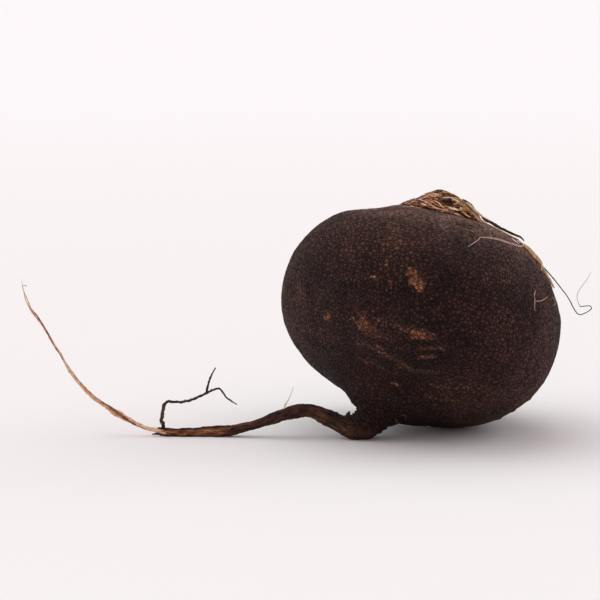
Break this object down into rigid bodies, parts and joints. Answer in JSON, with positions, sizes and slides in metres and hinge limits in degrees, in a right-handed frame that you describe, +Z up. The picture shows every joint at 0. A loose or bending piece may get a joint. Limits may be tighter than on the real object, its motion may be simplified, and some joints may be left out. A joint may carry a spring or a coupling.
{
  "type": "black radish",
  "caption": "Round black winter radish with netted skin, a long bent tap root, dry leaf bases and a withered leaf stalk, lying on its side.",
  "frame": {"origin": "middle of the small flat spot that the globe rests on, on the ground", "axes": "+Z up from the ground; the tap root runs towards -X; the leaf crown leans towards +X and +Y; -Y is the side that shows the whole tap root"},
  "size_m": [0.1942, 0.0937, 0.0821],
  "materials": {
    "skin": "dull netted bark",
    "root_bark": "dull rough bark",
    "dry_leaf": "dry and matte",
    "dark_fibre": "dry and matte"
  },
  "bodies": {
    "root": {"radish_root": "skin", "leaf_base_hollow": "dry_leaf", "leaf_base_cream": "dry_leaf", "leaf_base_ochre": "dry_leaf", "leaf_base_front": "dry_leaf", "leaf_base_front_left": "dry_leaf", "leaf_base_left": "dry_leaf", "leaf_base_back_left": "dry_leaf", "leaf_base_back": "dry_leaf", "leaf_base_back_right": "dry_leaf", "leaf_base_right": "dry_leaf", "leaf_base_top_left": "dry_leaf", "leaf_base_top_back": "dry_leaf", "dry_leaf_stalk": "dry_leaf", "stalk_fibre": "dry_leaf", "stalk_thread": "dark_fibre", "skin_rootlet": "dark_fibre", "side_root": "root_bark", "taproot_hair": "dry_leaf"}
  },
  "joints": []
}
